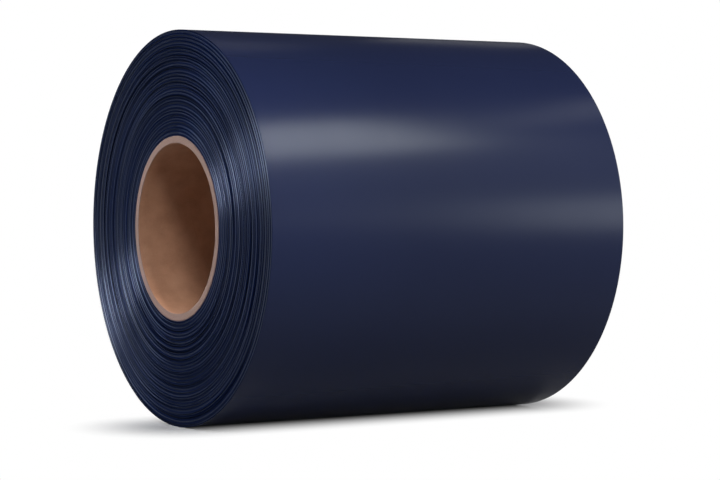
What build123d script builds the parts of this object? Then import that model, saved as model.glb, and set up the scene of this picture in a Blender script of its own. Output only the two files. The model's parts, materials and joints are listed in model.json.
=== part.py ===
from build123d import *
import math
import os

# A coil of prepainted steel strip, lying on its side with its axis along X.
# The origin is on the floor, under the middle of the coil. Sizes are in millimetres.

# Strip: one long painted sheet, wound on itself
strip_width = 1219.0        # slit width of the sheet, which is the coil's length
strip_gauge = 0.5           # thickness of the steel with both coats of paint
coil_diameter = 1180.0      # over the last turn

# Core: a tube of kraft board that the strip is wound on
core_bore = 508.0           # passes over the uncoiler's mandrel
core_wall = 22.0
core_edge_break = 1.5       # chamfer on the tube's cut edges

# Winding: the turns lie in groups, each a little to one side of the last
group_count = 16
group_unevenness = 0.38     # how far a group's edge strays, as a share of the mean group
side_play = 3.0             # how far apart two groups may stand along the axis

# Tail: the strip's free end, tucked under the coil and up behind it
tail_angle = 28.0           # degrees past the floor line

coil_radius = coil_diameter / 2
core_radius = core_bore / 2 + core_wall
tail_step_angle = 270.0 + tail_angle    # in the YZ plane, counted from +Y towards +Z
trim_margin = 4 * strip_gauge           # the turned blank stands this far outside the last turn

group_phase = 2.4           # spreads the groups' widths
shift_phase = 1.7           # spreads the groups' sideways shifts


def group_edge(k):
    """Radius between group k - 1 and group k, counted outwards from the core."""
    if k == 0:
        return core_radius
    if k == group_count:
        return coil_radius + trim_margin
    share = (k + group_unevenness * math.sin(group_phase * k)) / group_count
    return core_radius + share * (coil_radius - core_radius)


def group_shift(k):
    """Sideways shift of group k. One strip runs through them all, so both ends shift together."""
    return side_play / 2 * math.sin(shift_phase * k * k + 1)


def turned_blank():
    """The wound groups as one turned solid with its bore: a step on each end for every group."""
    near_end = []
    far_end = []
    for k in range(group_count):
        inside, outside, shift = group_edge(k), group_edge(k + 1), group_shift(k)
        near_end += [(shift - strip_width / 2, inside), (shift - strip_width / 2, outside)]
        far_end += [(shift + strip_width / 2, inside), (shift + strip_width / 2, outside)]
    outline = Polyline(*near_end, *reversed(far_end), close=True)
    return revolve(Plane.XZ * make_face(outline), Axis.X)


def last_turn_prism():
    """The space inside the last turn, whose radius falls by one gauge over its full turn.

    Two half circles make that spiral. They meet smoothly opposite the tail, and at the tail
    they leave a step of one gauge, which is the strip's cut end.
    """
    half_step = strip_gauge / 2
    outer_half = CenterArc((0, 0), coil_radius, 180, 180)
    inner_half = CenterArc((-half_step, 0), coil_radius - half_step, 0, 180)
    cut_end = Line(outer_half @ 1, inner_half @ 0)
    section = make_face([outer_half, cut_end, inner_half])
    reach = strip_width / 2 + side_play
    prism = extrude(Plane.YZ * Rot(0, 0, tail_step_angle) * section, reach, both=True)
    return prism


def wound_strip():
    return turned_blank() & last_turn_prism()


def core_tube():
    tube = Cylinder(core_radius, strip_width) - Cylinder(core_bore / 2, strip_width)
    cut_edges = tube.edges().filter_by(GeomType.CIRCLE)
    return Rot(0, 90, 0) * chamfer(cut_edges, core_edge_break)


os.makedirs("parts", exist_ok=True)
on_floor = Pos(0, 0, coil_radius)
for name, shape in (("wound_strip", wound_strip()), ("core_tube", core_tube())):
    export_step(on_floor * shape, f"parts/{name}.step")
    print(name, round(shape.volume / 1e9, 5), "m3")
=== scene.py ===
import bpy
import json
import math
import numpy as np
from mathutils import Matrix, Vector


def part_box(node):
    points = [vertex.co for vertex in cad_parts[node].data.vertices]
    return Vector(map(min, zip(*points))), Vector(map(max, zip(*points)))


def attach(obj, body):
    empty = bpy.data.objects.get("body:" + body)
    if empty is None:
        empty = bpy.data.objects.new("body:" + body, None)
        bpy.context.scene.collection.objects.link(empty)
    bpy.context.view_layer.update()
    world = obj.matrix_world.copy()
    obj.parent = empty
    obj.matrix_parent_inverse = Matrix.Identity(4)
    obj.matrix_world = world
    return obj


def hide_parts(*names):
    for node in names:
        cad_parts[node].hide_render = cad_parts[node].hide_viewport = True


# Coil of navy prepainted steel strip on a kraft board core.
# Metres, coil axis along X, floor at Z = 0, the viewer on the -Y side.

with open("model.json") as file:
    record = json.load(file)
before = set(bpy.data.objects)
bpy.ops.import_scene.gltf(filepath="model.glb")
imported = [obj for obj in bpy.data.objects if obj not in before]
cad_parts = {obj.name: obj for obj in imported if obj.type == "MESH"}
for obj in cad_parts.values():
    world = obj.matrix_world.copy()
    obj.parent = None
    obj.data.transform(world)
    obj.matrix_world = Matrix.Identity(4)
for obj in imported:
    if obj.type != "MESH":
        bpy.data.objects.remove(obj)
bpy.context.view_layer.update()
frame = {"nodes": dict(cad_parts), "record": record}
print("frame loaded:", ", ".join(sorted(frame["nodes"])))


# Camera

photoView = {
    "place": (-3.490, -5.771, 0.758),
    "headingDeg": 31.41,    # from +Y towards +X
    "downDeg": 1.80,
    "lensMm": 108.1,
    "clipEnd": 200,         # past the floor's far side
}


def makeCamera(view):
    data = bpy.data.cameras.new("photoCamera")
    data.lens = view["lensMm"]
    data.clip_end = view["clipEnd"]
    camera = bpy.data.objects.new("photoCamera", data)
    camera.location = view["place"]
    camera.rotation_euler = (math.radians(90 - view["downDeg"]), 0,
                             math.radians(-view["headingDeg"]))
    bpy.context.scene.collection.objects.link(camera)
    bpy.context.scene.camera = camera


makeCamera(photoView)
print("camera placed")


# Sizes taken from the frame

mandrelBore = frame["record"]["mounts"][0]
axisHeight = mandrelBore["pos_m"][2]
coilRadius = axisHeight                  # the coil lies on the floor
boreRadius = mandrelBore["dims"]["r_mm"] / 1000
coreLow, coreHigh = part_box("core_tube")
coilWidth = coreHigh.x - coreLow.x       # the core is as long as the strip is wide
coreRadius = round((coreHigh.z - coreLow.z) / 2, 4)     # to a tenth of a millimetre


# Mesh helpers

# Closed ring of skin: point (i, j) sits at x[i, j], radius[i, j] from the axis, turned by turn[j];
# each point is joined to the next one along the profile and the next one round the axis.
def revolvedSkin(name, x, radius, turn):
    rows, columns = radius.shape
    points = np.stack([np.broadcast_to(x, radius.shape), radius * np.cos(turn),
                       axisHeight + radius * np.sin(turn)], axis=-1)
    i, j = np.meshgrid(np.arange(rows), np.arange(columns), indexing="ij")
    nextI, nextJ = (i + 1) % rows, (j + 1) % columns
    quads = np.stack([i * columns + j, i * columns + nextJ,
                      nextI * columns + nextJ, nextI * columns + j], axis=-1)
    mesh = bpy.data.meshes.new(name)
    mesh.from_pydata(points.reshape(-1, 3), [], quads.reshape(-1, 4))
    mesh.shade_smooth()
    piece = bpy.data.objects.new(name, mesh)
    bpy.context.scene.collection.objects.link(piece)
    return piece


# One number for each point, in the order of revolvedSkin's points
def pointValues(piece, name, values):
    attribute = piece.data.attributes.new(name, "FLOAT", "POINT")
    attribute.data.foreach_set("value", np.ascontiguousarray(values, dtype=np.float32).ravel())


# One material for each row of faces; row i lies between profile points i and i + 1
def giveMaterials(piece, materials, indexByRow, columns):
    for material in materials:
        piece.data.materials.append(material)
    indices = np.repeat(indexByRow, columns).astype(np.int32)
    piece.data.polygons.foreach_set("material_index", indices)


# Material helpers

def newMaterial(name):
    material = bpy.data.materials.new(name)
    material.use_nodes = True
    nodes = material.node_tree.nodes
    return material, nodes, material.node_tree.links, nodes["Principled BSDF"]


# In the node helpers a number is set on the node's own socket, and an output is linked to it
def mathNode(nodes, links, operation, first, second=0.0, third=0.0):
    node = nodes.new("ShaderNodeMath")
    node.operation = operation
    for socket, value in zip(node.inputs, (first, second, third)):
        if isinstance(value, (int, float)):
            socket.default_value = value
        else:
            links.new(value, socket)
    return node.outputs[0]


def vectorScaled(nodes, links, vector, scale):
    node = nodes.new("ShaderNodeVectorMath")
    node.operation = "MULTIPLY"
    links.new(vector, node.inputs[0])
    node.inputs[1].default_value = scale
    return node.outputs[0]


def noiseNode(nodes, links, vector, detail, scale=1, roughness=0.5):
    node = nodes.new("ShaderNodeTexNoise")
    node.inputs["Scale"].default_value = scale
    node.inputs["Detail"].default_value = detail
    node.inputs["Roughness"].default_value = roughness
    links.new(vector, node.inputs["Vector"])
    return node.outputs["Fac"]


# Inputs 6 and 7 and output 2 are the mix node's sockets for colours
def mixColours(nodes, links, factor, first, second):
    node = nodes.new("ShaderNodeMix")
    node.data_type = "RGBA"
    links.new(factor, node.inputs[0])
    for socket, value in ((node.inputs[6], first), (node.inputs[7], second)):
        if isinstance(value, tuple):
            socket.default_value = (*value, 1)
        else:
            links.new(value, socket)
    return node.outputs[2]


def mapRange(nodes, links, value, fromLow, fromHigh, toLow, toHigh):
    node = nodes.new("ShaderNodeMapRange")
    links.new(value, node.inputs["Value"])
    node.inputs["From Min"].default_value, node.inputs["From Max"].default_value = fromLow, fromHigh
    node.inputs["To Min"].default_value, node.inputs["To Max"].default_value = toLow, toHigh
    return node.outputs["Result"]


def bumpNode(nodes, links, height, distance, normal=None):
    node = nodes.new("ShaderNodeBump")
    node.inputs["Distance"].default_value = distance
    links.new(height, node.inputs["Height"])
    if normal is not None:
        links.new(normal, node.inputs["Normal"])
    return node.outputs["Normal"]


def separateAxes(nodes, links, vector):
    node = nodes.new("ShaderNodeSeparateXYZ")
    links.new(vector, node.inputs[0])
    return node.outputs


# Position measured from the coil's axis: (x, y, z - height of the axis)
def positionFromAxis(nodes, links):
    coordinates = nodes.new("ShaderNodeTexCoord")
    centred = nodes.new("ShaderNodeMapping")
    centred.inputs["Location"].default_value = (0, 0, -axisHeight)
    links.new(coordinates.outputs["Object"], centred.inputs["Vector"])
    return centred.outputs["Vector"]


# The same position without its X, and its length, which is the distance from the axis
def acrossAxis(nodes, links, position):
    across = vectorScaled(nodes, links, position, (0, 1, 1))
    length = nodes.new("ShaderNodeVectorMath")
    length.operation = "LENGTH"
    links.new(across, length.inputs[0])
    return across, length.outputs["Value"]


# Wound strip: one sheet, its turns lying in groups and in finer laps within each group

woundStrip = {
    "gauge": 0.0005,
    "groupCount": 16,
    "groupUnevenness": 0.38,    # share of the mean group
    "groupPhase": 2.4,
    "sidePlay": 0.003,
    "proudest": 0.001,          # most that a lap stands out of the near end
    "shiftPhase": 1.7,
    "tailDeg": 28.0,            # past the floor line, on the hidden side
    "cutLean": 0.0004,          # how far the face of the cut end leans
    "cutFoot": 0.05,            # where that face starts, as a share of the gauge
    "lapWidth": 0.0052,         # mean width of a lap, about ten turns
    "lapUnevenness": 0.5,
    "lapStray": 0.00022,        # sideways, standard deviation
    "waveHeights": (0.6, 0.45, 0.3),    # of one, two and three waves round the coil
    "waveSpread": (0.4, 1),     # share of that height which a lap gets
    "crownWaves": 0.7,          # share of lapStray by which a crown sways round the coil
    "crownTilt": 0.8,           # share of lapStray by which it leans from inside to outside
    "seamDepth": 0.0013,        # deepest seam between two laps
    "seamHalfWidth": 0.0008,
    "seamRarity": 1.6,          # a higher power leaves fewer deep seams
    "dippingSeams": 0.7,        # share of the seams that dip; the others stand up
    "standingHeight": 0.5,      # of those, as a share of a dip
    "seamFade": (0.55, 0.6, 0.05),      # mean, sway and least strength of a seam round the coil
    "rimRounding": 0.0003,
    "rimRows": (0.002, 0.006, 0.03),    # from the rim to the barrel's first rows of points
    "columns": 156,
    "barrelRows": 24,
    "seed": 11,
}


# Edge of group k: k even shares of the build-up, each shifted by a sine of its number
def groupEdges(strip):
    k = np.arange(strip["groupCount"] + 1)
    share = (k + strip["groupUnevenness"] * np.sin(strip["groupPhase"] * k)) / strip["groupCount"]
    share[0], share[-1] = 0, 1
    return coreRadius + share * (coilRadius - coreRadius)


# Sideways shift of group k: a sine of its number squared, so that neighbours differ
def groupShifts(strip):
    k = np.arange(strip["groupCount"])
    return strip["sidePlay"] / 2 * np.sin(strip["shiftPhase"] * k * k + 1)


# Radius of the last turn: half a circle of the coil's radius, then half a circle centred half a
# gauge to the side and half a gauge smaller, so that the strip's cut end stands one gauge high
def lastTurnRadius(strip, pastTail):
    half = strip["gauge"] / 2
    chord = np.sqrt((coilRadius - half) ** 2 - (half * np.sin(pastTail)) ** 2)
    return np.where(pastTail < np.pi, -half * np.cos(pastTail) + chord, coilRadius)


# Slow waves round the coil, a row for each lap: the sum of height * share * cos(n * turn + phase)
# for n of one, two and three waves, each lap with its own shares and phases
def turnWaves(strip, dice, rows, turn):
    waves = np.zeros((rows, len(turn)))
    for harmonic, height in enumerate(strip["waveHeights"], 1):
        phase = dice.uniform(0, 2 * np.pi, (rows, 1))
        share = dice.uniform(*strip["waveSpread"], (rows, 1))
        waves += height * share * np.cos(harmonic * turn + phase)
    return waves


# Laps: each group is cut into uneven laps. A lap's crown is shifted sideways with its group and a
# little on its own, and a seam dips between two laps or stands up, fading in and out round the turn.
def lapRelief(strip, turn):
    dice = np.random.default_rng(strip["seed"])
    edges, shifts = groupEdges(strip), groupShifts(strip)
    lapEdges, lapShifts = [edges[:1]], []
    for inside, outside, shift in zip(edges[:-1], edges[1:], shifts):
        count = max(1, round((outside - inside) / strip["lapWidth"]))
        weights = np.cumsum(1 + strip["lapUnevenness"] * dice.uniform(-1, 1, count))
        lapEdges.append(inside + (outside - inside) * weights / weights[-1])
        lapShifts.append(shift + strip["lapStray"] * dice.normal(0, 1, count))
    lapEdges, lapShifts = np.concatenate(lapEdges), np.concatenate(lapShifts)
    laps = len(lapShifts)
    inside, outside = lapEdges[:-1], lapEdges[1:]

    sway = strip["lapStray"] * strip["crownWaves"] * turnWaves(strip, dice, laps, turn)
    crown = lapShifts[:, None] + sway
    tilt = strip["lapStray"] * strip["crownTilt"] * dice.normal(0, 1, (laps, 1))
    deepest = dice.uniform(0, 1, (laps, 1)) ** strip["seamRarity"]
    dips = dice.uniform(0, 1, (laps, 1)) < strip["dippingSeams"]
    mean, fade, least = strip["seamFade"]
    strength = np.clip(mean + fade * turnWaves(strip, dice, laps, turn), least, 1)
    seam = deepest * np.where(dips, 1, -strip["standingHeight"]) * strength
    before = np.vstack([crown[:1], crown[:-1]])
    beside = np.where(seam > 0, np.maximum(before, crown), np.minimum(before, crown))
    bottom = beside + strip["seamDepth"] * seam

    # Four points a lap: the seam before it, the inner shoulder, the middle and the outer shoulder
    shoulder = np.minimum(strip["seamHalfWidth"], (outside - inside) / 4)
    radius = np.stack([inside, inside + shoulder, (inside + outside) / 2, outside - shoulder], axis=1)
    shift = np.stack([bottom, crown + tilt, crown, crown - tilt], axis=1).reshape(-1, len(turn))
    none = np.zeros_like(seam)
    depth = np.stack([seam, none, none, none], axis=1).reshape(-1, len(turn))
    return radius.ravel(), shift, depth, lapEdges


# Profile: near end from the core outwards, rounded rim, barrel, rim, far end back to the core, and
# closed along the core. Its outer radius follows the last turn; the last two columns make the cut end.
def makeWoundStrip(strip, paint, edges):
    tail = math.radians(270 + strip["tailDeg"])     # from +Y over the top, 270 is the floor line
    lean = strip["cutLean"] / coilRadius
    pastTail = np.linspace(0, 2 * np.pi - lean, strip["columns"] - 1)
    pastTail = np.append(pastTail, 2 * np.pi - lean / 3)
    turn = tail + pastTail
    outer = lastTurnRadius(strip, pastTail)
    outer[-1] = outer[0] + (coilRadius - outer[0]) * strip["cutFoot"]

    radius, shift, depth, lapEdges = lapRelief(strip, turn)
    shift = np.clip(shift, -strip["proudest"], strip["sidePlay"] / 2)
    inLastLap = np.clip((radius - lapEdges[-2]) / (coilRadius - lapEdges[-2]), 0, 1)
    radius = radius[:, None] + inLastLap[:, None] * (outer - coilRadius)
    rim = shift[-1]
    rounding = strip["rimRounding"]

    nearX = np.vstack([shift, rim, rim + rounding]) - coilWidth / 2
    farX = np.vstack([shift, rim, rim - rounding])[::-1] + coilWidth / 2
    faceRadius = np.vstack([radius, outer - rounding, outer])
    first, second, third = strip["rimRows"]
    along = np.array([first, second, *np.linspace(third, coilWidth - third, strip["barrelRows"]),
                      coilWidth - second, coilWidth - first])
    barrelX = along[:, None] - coilWidth / 2 + rim
    barrelRadius = np.broadcast_to(outer, barrelX.shape)

    x = np.vstack([nearX, barrelX, farX])
    allRadius = np.vstack([faceRadius, barrelRadius, faceRadius[::-1]])
    piece = revolvedSkin("woundStrip", x, allRadius, turn)
    rimDepth = np.zeros((2, len(turn)))
    nearDepth = np.vstack([depth, rimDepth])
    farDepth = np.vstack([-depth, rimDepth])[::-1]      # a seam that dips here stands up there
    seamDepth = np.vstack([nearDepth, np.zeros_like(barrelX), farDepth])
    # the seams' depth is kept on the points, and the slit edges paint shade into the dipping ones from
    # it
    pointValues(piece, "seamDepth", np.clip(seamDepth, 0, 1))

    faceRows, barrelRows = len(nearX), len(barrelX)
    rows = np.arange(2 * faceRows + barrelRows)
    onBarrel = (rows >= faceRows - 1) & (rows < faceRows + barrelRows)
    giveMaterials(piece, (paint, edges), np.where(onBarrel, 0, 1), len(turn))
    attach(piece, "root")
    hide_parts("wound_strip")
    print("wound strip made:", len(piece.data.polygons) * 2, "triangles")


# Navy coil paint, satin, with faint streaks round the barrel

navyPaint = {
    "colour": (0.0076, 0.0108, 0.0315),
    "darkColour": (0.0066, 0.0094, 0.0280),
    "clouds": {"scale": 2.5, "detail": 3},      # from the dark colour to the plain one
    "roughness": (0.25, 0.273),
    "streaks": {"detail": 2},
    "streakScale": (45, 0.7, 0.7),      # narrow along the axis, long round the barrel
    "streakRange": (0.2, 0.8),          # of the noise, over which the roughness changes
    "specularLevel": 0.085,
    "specularTint": (0.85, 0.93, 1.0),
    "peel": {"scale": 420, "detail": 1},
    "peelHeight": 0.000003,
}


def makeNavyPaint(paint):
    material, nodes, links, shader = newMaterial("navyPaint")
    position = positionFromAxis(nodes, links)
    stretched = vectorScaled(nodes, links, position, paint["streakScale"])
    streaks = noiseNode(nodes, links, stretched, **paint["streaks"])
    clouds = noiseNode(nodes, links, position, **paint["clouds"])
    peel = noiseNode(nodes, links, position, **paint["peel"])
    colour = mixColours(nodes, links, clouds, paint["darkColour"], paint["colour"])
    roughness = mapRange(nodes, links, streaks, *paint["streakRange"], *paint["roughness"])
    links.new(colour, shader.inputs["Base Color"])
    links.new(roughness, shader.inputs["Roughness"])
    links.new(bumpNode(nodes, links, peel, paint["peelHeight"]), shader.inputs["Normal"])
    shader.inputs["Specular IOR Level"].default_value = paint["specularLevel"]
    shader.inputs["Specular Tint"].default_value = (*paint["specularTint"], 1)
    return material


# Slit edges of the turns, seen on the ends as fine rings that fade in and out, with shade painted into
# the gaps between laps and into the seams

slitEdges = {
    "paintColour": (0.0039, 0.0079, 0.0312),
    "steelColour": (0.047, 0.055, 0.076),
    # painted shade: the near black into which the gaps and the dipping seams are darkened
    "gapShadeColour": (0.0008, 0.0014, 0.0045),
    "steelTint": (0.0, 0.0, 0.0),           # keeps the steel from paling at a low angle
    "metallic": (0.1, 1.0),                 # of the painted lines and the bare ones
    "roughness": (0.41, 0.42),
    "anisotropy": 1.0,
    # gap: where the shade painted into it fades out, from the gap (0) to the lap's middle (0.5);
    # strength: of the painted shade in the gaps, none below 0; tone: share of its bare steel that a lap
    # keeps, read from that part of the noise;
    # offset: gives each kind of lap its own noise
    "fineLaps": {"pitch": 0.0096, "gap": (0.10, 0.27), "strength": (0.5, 1.0), "offset": 11,
                 "toneNoise": (0.3, 0.65), "tone": (0.65, 1)},
    "middleLaps": {"pitch": 0.0205, "gap": (0.07, 0.20), "strength": (0.1, 1.0), "offset": 37,
                   "toneNoise": (0.3, 0.55), "tone": (0.8, 1)},
    "wideLaps": {"pitch": 0.037, "gap": (0.02, 0.06), "strength": (-0.8, 1.0), "offset": 71},
    "bareLine": (0.22, 0.37),   # where bare steel begins, from a fine lap's gap (0) to its middle (0.5)
    "crowding": 1.6,            # laps by which a slow noise pushes the others together or apart
    "crowdScale": 14,
    "gapNoise": (0.32, 0.68),   # part of the noise from the least to the most strength
    "seamFull": 0.6,            # strength at which the shade painted into a seam of the skin is darkest
    # darkest painted shade in a seam, as a share of the way to the gaps' near black
    "seamDark": 0.8,
    "gapStep": 5.3,             # along the noise from one gap to the next
    "toneStep": 3.7,            # and from one lap to the next
    "crowdRound": 0.5,          # noise scales round the coil, per metre
    "gapRound": 1.6,
    "toneRound": 1.2,
    "lapHeight": 0.00012,
}


def makeSlitEdges(edges):
    material, nodes, links, shader = newMaterial("slitEdges")
    position = positionFromAxis(nodes, links)
    across, radius = acrossAxis(nodes, links, position)
    along = separateAxes(nodes, links, position)

    # Ring noise: quick along first * step + offset, slow round the coil
    def ringNoise(first, step, offset, roundScale):
        combined = nodes.new("ShaderNodeCombineXYZ")
        stepped = mathNode(nodes, links, "MULTIPLY_ADD", first, step, offset)
        links.new(stepped, combined.inputs[0])
        links.new(mathNode(nodes, links, "MULTIPLY", along["Y"], roundScale), combined.inputs[1])
        links.new(mathNode(nodes, links, "MULTIPLY", along["Z"], roundScale), combined.inputs[2])
        return noiseNode(nodes, links, combined.outputs[0], 0)

    # Laps counted along the radius: radius / pitch + crowding * noise, whole numbers lying in the gaps
    def countLaps(laps):
        slow = ringNoise(radius, edges["crowdScale"], laps["offset"], edges["crowdRound"])
        pushed = mathNode(nodes, links, "MULTIPLY", slow, edges["crowding"])
        return mathNode(nodes, links, "MULTIPLY_ADD", radius, 1 / laps["pitch"], pushed)

    # Distance from the nearest gap, from 0 in the gap to 0.5 in the middle of a lap
    def fromGap(count):
        return mathNode(nodes, links, "PINGPONG", count, 0.5)

    # Painted shade in a gap: 1 at a whole number, fading to 0, times its own strength, which changes
    # slowly round the coil
    def paintedGapShade(laps, count):
        nearest = mathNode(nodes, links, "ROUND", count)
        own = ringNoise(nearest, edges["gapStep"], laps["offset"], edges["gapRound"])
        strength = mapRange(nodes, links, own, *edges["gapNoise"], *laps["strength"])
        gap = mapRange(nodes, links, fromGap(count), *laps["gap"], 1, 0)
        return mathNode(nodes, links, "MULTIPLY", gap, mathNode(nodes, links, "MAXIMUM", strength, 0))

    # Tone: one for each lap, from its whole number, which changes slowly round the coil too
    def lapTone(laps, count):
        lap = mathNode(nodes, links, "FLOOR", count)
        own = ringNoise(lap, edges["toneStep"], laps["offset"], edges["toneRound"])
        return mapRange(nodes, links, own, *laps["toneNoise"], *laps["tone"])

    counts = {name: countLaps(edges[name]) for name in ("fineLaps", "middleLaps", "wideLaps")}
    bare = mapRange(nodes, links, fromGap(counts["fineLaps"]), *edges["bareLine"], 0, 1)
    for name in ("fineLaps", "middleLaps"):
        bare = mathNode(nodes, links, "MULTIPLY", bare, lapTone(edges[name], counts[name]))
    lined = mixColours(nodes, links, bare, edges["paintColour"], edges["steelColour"])

    # Painted shade: the darkest of the three kinds of gap and of the seams that the skin has as shape,
    # put into the colour as the shade that falls in them
    seam = nodes.new("ShaderNodeAttribute")
    seam.attribute_name = "seamDepth"
    gapAndSeamShade = mapRange(nodes, links, seam.outputs["Fac"], 0, edges["seamFull"], 0, edges["seamDark"])
    for name, count in counts.items():
        gapAndSeamShade = mathNode(nodes, links, "MAXIMUM", gapAndSeamShade, paintedGapShade(edges[name], count))

    # the painted shade darkens the lined colour towards the gaps' near black
    colour = mixColours(nodes, links, gapAndSeamShade, lined, edges["gapShadeColour"])
    links.new(colour, shader.inputs["Base Color"])
    links.new(mapRange(nodes, links, bare, 0, 1, *edges["roughness"]), shader.inputs["Roughness"])
    links.new(mapRange(nodes, links, bare, 0, 1, *edges["metallic"]), shader.inputs["Metallic"])
    links.new(bumpNode(nodes, links, gapAndSeamShade, -edges["lapHeight"]), shader.inputs["Normal"])
    shader.inputs["Specular IOR Level"].default_value = 0
    shader.inputs["Specular Tint"].default_value = (*edges["steelTint"], 1)
    shader.inputs["Anisotropic"].default_value = edges["anisotropy"]
    links.new(across, shader.inputs["Tangent"])
    return material


makeWoundStrip(woundStrip, makeNavyPaint(navyPaint), makeSlitEdges(slitEdges))


# Core tube of kraft board

coreTube = {
    "edgeBreak": 0.0015,        # chamfer of the cut edges
    "edgeWear": 0.0003,         # along the axis, before it is smoothed round the tube
    "columns": 144,
    "wallRows": 40,
    "endRows": 8,
    "seed": 5,
}


# Profile: near end ring outwards, chamfer, outer wall, chamfer, far end ring inwards, chamfer, bore
# wall back and chamfer. The ends' rims are worn by the mean of three neighbouring draws round the tube.
def makeCoreTube(core, board, boardEnds):
    turn = np.linspace(0, 2 * np.pi, core["columns"], endpoint=False)
    half, cut, endRows = coilWidth / 2, core["edgeBreak"], core["endRows"]
    endRadius = np.linspace(boreRadius + cut, coreRadius - cut, endRows)
    wallX = np.linspace(-half + cut, half - cut, core["wallRows"])
    profileX = np.concatenate([np.full(endRows, -half), [-half + cut, half - cut],
                               np.full(endRows, half), wallX[::-1]])
    profileRadius = np.concatenate([endRadius, [coreRadius, coreRadius], endRadius[::-1],
                                    np.full(len(wallX), boreRadius)])
    x = np.repeat(profileX[:, None], len(turn), axis=1)
    radius = np.repeat(profileRadius[:, None], len(turn), axis=1)

    dice = np.random.default_rng(core["seed"])
    worn = np.isin(np.arange(len(profileX)), [0, endRows - 1, endRows + 2, 2 * endRows + 1])
    wear = dice.normal(0, 1, x.shape)
    wear = (wear + np.roll(wear, 1, axis=1) + np.roll(wear, -1, axis=1)) / 3
    x = x - np.sign(x) * np.abs(wear) * core["edgeWear"] * worn[:, None]

    piece = revolvedSkin("coreTube", x, radius, turn)
    onEnd = np.ones(len(profileX), dtype=int)       # the chamfers cut the plies too
    onEnd[endRows] = 0
    onEnd[2 * endRows + 2:-1] = 0
    giveMaterials(piece, (board, boardEnds), onEnd, len(turn))
    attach(piece, "root")
    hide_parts("core_tube")
    print("core tube made:", len(piece.data.polygons) * 2, "triangles")


kraftBoard = {
    "colour": (0.28, 0.142, 0.082),
    "darkColour": (0.215, 0.102, 0.056),
    "fibreColour": (0.34, 0.195, 0.125),
    "roughness": 0.85,
    "specularLevel": 0.15,
    "mottle": {"scale": 14, "detail": 5, "roughness": 0.6},
    "mottleRange": (0.3, 0.7),  # of the noise, from the dark colour to the plain one
    "fibres": {"detail": 3, "roughness": 0.6},
    "fibreScale": (260, 900, 900),      # the fibres lie along the axis
    "fibreRange": (0.55, 0.75),         # of the noise, where the pale fibres come in
    "fibreStrength": 0.5,
    "fibreHeight": 0.00012,
    "plyPitch": 0.42,           # metres along the axis for one turn of the inner ply
    "seamReach": 0.006,         # from the seam's middle to its side, as a share of the pitch
    "seamDarkening": 0.25,
    "seamDepth": 0.0006,        # at full darkening
}

kraftEnds = {
    "colour": (0.150, 0.104, 0.091),
    "darkColour": (0.097, 0.060, 0.052),
    "roughness": 0.9,
    "specularLevel": 0.1,
    "plyScale": 650,            # plies show as rings about a millimetre and a half apart
    "plyDetail": 2,
    "plyShare": 0.7,            # of the tone; the rest is fuzz
    "fuzz": {"scale": 300, "detail": 3},
    "toneRange": (0.3, 0.65),   # from the dark colour to the plain one
    "plyHeight": 0.00035,
}


# Ply seam: a helix, where angle / full turn + x / pitch is a whole number
def makeKraftBoard(board):
    material, nodes, links, shader = newMaterial("kraftBoard")
    position = positionFromAxis(nodes, links)
    along = separateAxes(nodes, links, position)
    angle = mathNode(nodes, links, "ARCTAN2", along["Z"], along["Y"])
    turns = mathNode(nodes, links, "MULTIPLY", angle, 1 / (2 * math.pi))
    helix = mathNode(nodes, links, "MULTIPLY_ADD", along["X"], 1 / board["plyPitch"], turns)
    fromSeam = mathNode(nodes, links, "PINGPONG", helix, 0.5)
    seam = mapRange(nodes, links, fromSeam, 0, board["seamReach"], board["seamDarkening"], 0)

    mottle = noiseNode(nodes, links, position, **board["mottle"])
    mottled = mapRange(nodes, links, mottle, *board["mottleRange"], 0, 1)
    base = mixColours(nodes, links, mottled, board["darkColour"], board["colour"])
    stretched = vectorScaled(nodes, links, position, board["fibreScale"])
    fibres = noiseNode(nodes, links, stretched, **board["fibres"])
    pale = mapRange(nodes, links, fibres, *board["fibreRange"], 0, board["fibreStrength"])
    fibred = mixColours(nodes, links, pale, base, board["fibreColour"])
    colour = mixColours(nodes, links, seam, fibred, board["darkColour"])
    links.new(colour, shader.inputs["Base Color"])

    fibreBump = bumpNode(nodes, links, fibres, board["fibreHeight"])
    seamHeight = mathNode(nodes, links, "MULTIPLY", seam, -1)
    relief = bumpNode(nodes, links, seamHeight, board["seamDepth"], normal=fibreBump)
    links.new(relief, shader.inputs["Normal"])
    shader.inputs["Roughness"].default_value = board["roughness"]
    shader.inputs["Specular IOR Level"].default_value = board["specularLevel"]
    return material


# Tone of the cut ends: plyShare * noise of the radius + (1 - plyShare) * fuzz
def makeKraftEnds(ends):
    material, nodes, links, shader = newMaterial("kraftEnds")
    position = positionFromAxis(nodes, links)
    radius = acrossAxis(nodes, links, position)[1]
    rings = nodes.new("ShaderNodeTexNoise")
    rings.noise_dimensions = "1D"
    rings.inputs["Scale"].default_value = ends["plyScale"]
    rings.inputs["Detail"].default_value = ends["plyDetail"]
    links.new(radius, rings.inputs["W"])
    fuzz = noiseNode(nodes, links, position, **ends["fuzz"])
    fuzz = mathNode(nodes, links, "MULTIPLY", fuzz, 1 - ends["plyShare"])
    tone = mathNode(nodes, links, "MULTIPLY_ADD", rings.outputs["Fac"], ends["plyShare"], fuzz)
    ramp = mapRange(nodes, links, tone, *ends["toneRange"], 0, 1)
    colour = mixColours(nodes, links, ramp, ends["darkColour"], ends["colour"])
    links.new(colour, shader.inputs["Base Color"])
    links.new(bumpNode(nodes, links, tone, ends["plyHeight"]), shader.inputs["Normal"])
    shader.inputs["Roughness"].default_value = ends["roughness"]
    shader.inputs["Specular IOR Level"].default_value = ends["specularLevel"]
    return material


makeCoreTube(coreTube, makeKraftBoard(kraftBoard), makeKraftEnds(kraftEnds))


# Studio: pale floor, a pale horizon under a dim ceiling, and soft lamps

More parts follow.
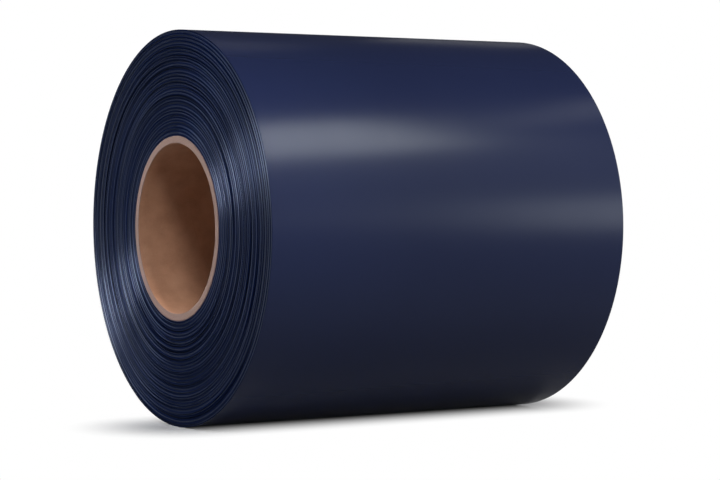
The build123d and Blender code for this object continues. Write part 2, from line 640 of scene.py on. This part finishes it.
studio = {
    "floorRadius": 60.0,
    "floorPoints": 96,
    "floorColour": (0.32, 0.32, 0.33),
    "shadeReach": (0.02, 0.34),     # metres from the coil over which its shade gives way to white
    "mirroredReach": (0.35, 0.95),  # the same as the coil's paint mirrors it
    "horizon": 1.0,
    "ceiling": 0.04,
    "bandTop": (0.085, 0.17),       # sine of the elevation where the pale band ends
}

# place, aim, width, height, power in watts, spread in degrees, colour
lamps = {
    "barrelLamp": ((0.50, -2.20, 2.72), (-0.75, -0.5, 0.90), 1.95, 0.86, 116, 180, (1.0, 0.99, 0.97)),
    "rightUpperLamp": ((2.4, -1.12, 3.3), (0.45, -0.4, 1.0), 1.2, 0.3, 4.8, 180, (1.0, 1.0, 1.0)),
    "sideLamp": ((3.1, -3.3, 1.0), (0.5, -0.5, 0.6), 1.5, 1.1, 48, 180, (1.0, 1.0, 1.0)),
    "frontPanel": ((1.75, -2.9, 1.9), (0.1, -0.5, 0.6), 2.8, 2.6, 42, 180, (0.98, 0.99, 1.0)),
    "boreLamp": ((-1.42, -2.30, 2.30), (-0.5, 0.12, 0.36), 0.8, 0.8, 1.9, 20, (0.92, 1.0, 1.1)),
    "endLamp": ((-2.9, -2.3, 2.9), (-0.6, 0, 0.5), 1.0, 1.0, 10, 180, (1.0, 0.98, 0.95)),
    "leftBackLamp": ((-3.573, 1.216, 1.387), (-0.6, 0.22, 0.44), 0.9, 0.9, 38, 90, (1.0, 0.98, 0.94)),
    "upperBackLamp": ((-2.68, 2.36, 2.13), (-0.6, 0, 0.59), 1.8, 1.8, 55, 180, (0.95, 0.98, 1.0)),
    "backLamp": ((0.85, 1.75, 3.30), (-0.5, -0.2, 1.13), 0.8, 0.5, 0.5, 180, (1.0, 1.0, 1.0)),
    "topEdgeLamp": ((2.90, 3.3, 2.75), (0.3, 0, 1.18), 0.9, 0.8, 0.65, 180, (1.0, 1.0, 1.0)),
    "farEndLamp": ((4.4, 0.12, 0.66), (0.6, 0, 0.59), 0.8, 0.8, 120, 180, (1.0, 0.99, 0.96)),
    "farSideLamp": ((-0.4, 3.8, 2.3), (0, 0.4, 0.7), 1.8, 1.2, 75, 180, (1.0, 1.0, 1.0)),
}


def makeFloor(room):
    turn = np.linspace(0, 2 * np.pi, room["floorPoints"], endpoint=False)
    rim = np.stack([np.cos(turn), np.sin(turn), np.zeros_like(turn)], axis=1) * room["floorRadius"]
    mesh = bpy.data.meshes.new("floor")
    mesh.from_pydata(rim, [], [list(range(len(turn)))])
    floor = bpy.data.objects.new("floor", mesh)
    bpy.context.scene.collection.objects.link(floor)

    material, nodes, links, shader = newMaterial("paleFloor")
    shader.inputs["Base Color"].default_value = (*room["floorColour"], 1)
    shader.inputs["Roughness"].default_value = 1
    shader.inputs["Specular IOR Level"].default_value = 0
    coordinates = nodes.new("ShaderNodeTexCoord")
    along = separateAxes(nodes, links, coordinates.outputs["Object"])

    # Distance from the line where the coil touches the floor: sqrt(max(|x| - width / 2, 0)^2 + y^2)
    pastEnd = mathNode(nodes, links, "ABSOLUTE", along["X"])
    pastEnd = mathNode(nodes, links, "SUBTRACT", pastEnd, coilWidth / 2)
    pastEnd = mathNode(nodes, links, "MAXIMUM", pastEnd, 0)
    squares = mathNode(nodes, links, "MULTIPLY", pastEnd, pastEnd)
    squares = mathNode(nodes, links, "MULTIPLY_ADD", along["Y"], along["Y"], squares)
    distance = mathNode(nodes, links, "SQRT", squares)

    # Plain white past each reach, for the camera's own rays and for those that the paint mirrors
    rays = nodes.new("ShaderNodeLightPath").outputs
    mirrored = mathNode(nodes, links, "MAXIMUM", rays["Is Glossy Ray"], rays["Is Transmission Ray"])
    whiteness = []
    for ray, reach in ((rays["Is Camera Ray"], room["shadeReach"]), (mirrored, room["mirroredReach"])):
        far = nodes.new("ShaderNodeMapRange")
        far.interpolation_type = "SMOOTHSTEP"
        links.new(distance, far.inputs["Value"])
        far.inputs["From Min"].default_value, far.inputs["From Max"].default_value = reach
        whiteness.append(mathNode(nodes, links, "MULTIPLY", ray, far.outputs["Result"]))
    pale = nodes.new("ShaderNodeEmission")
    mix = nodes.new("ShaderNodeMixShader")
    links.new(mathNode(nodes, links, "MAXIMUM", *whiteness), mix.inputs[0])
    links.new(shader.outputs[0], mix.inputs[1])
    links.new(pale.outputs[0], mix.inputs[2])
    links.new(mix.outputs[0], nodes["Material Output"].inputs["Surface"])
    mesh.materials.append(material)


def makeWorld(room):
    world = bpy.data.worlds.new("studioWorld")
    bpy.context.scene.world = world
    world.use_nodes = True
    nodes, links = world.node_tree.nodes, world.node_tree.links
    coordinates = nodes.new("ShaderNodeTexCoord")
    height = separateAxes(nodes, links, coordinates.outputs["Generated"])["Z"]
    level = mapRange(nodes, links, height, *room["bandTop"], room["horizon"], room["ceiling"])
    links.new(level, nodes["Background"].inputs["Strength"])
    nodes["Background"].inputs["Color"].default_value = (1, 1, 1, 1)


def makeLamps(table):
    for name, (place, aim, width, height, power, spreadDeg, colour) in table.items():
        data = bpy.data.lights.new(name, "AREA")
        data.shape = "RECTANGLE"
        data.size, data.size_y, data.energy, data.color = width, height, power, colour
        data.spread = math.radians(spreadDeg)
        lamp = bpy.data.objects.new(name, data)
        lamp.location = place
        lamp.rotation_euler = (Vector(aim) - Vector(place)).to_track_quat("-Z", "Y").to_euler()
        lamp.visible_camera = False
        bpy.context.scene.collection.objects.link(lamp)


makeFloor(studio)
makeWorld(studio)
makeLamps(lamps)
bpy.context.scene.view_settings.view_transform = "Standard"
print("studio lit by", len(lamps), "lamps")
